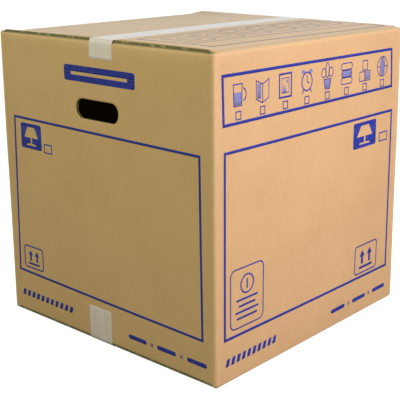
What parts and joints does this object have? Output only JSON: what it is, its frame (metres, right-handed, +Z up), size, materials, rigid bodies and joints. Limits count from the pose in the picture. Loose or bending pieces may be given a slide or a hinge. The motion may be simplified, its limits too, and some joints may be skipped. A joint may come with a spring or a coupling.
{
  "type": "moving carton",
  "caption": "Cube-shaped corrugated carton with hand holes in both end panels, its flaps folded shut and taped on top and underneath.",
  "frame": {"origin": "centre of the underside, on the surface that the carton stands on", "axes": "+Z up, -Y out of the front end panel with its hand hole, +X out of the right side panel"},
  "size_m": [0.454, 0.455, 0.4668],
  "materials": {
    "corrugated_board": "matt kraft liner with blue print",
    "packing_tape": "clear glossy film over kraft board"
  },
  "bodies": {
    "root": {"carton": "corrugated_board", "top_tape": "packing_tape", "bottom_tape": "packing_tape"}
  },
  "joints": []
}
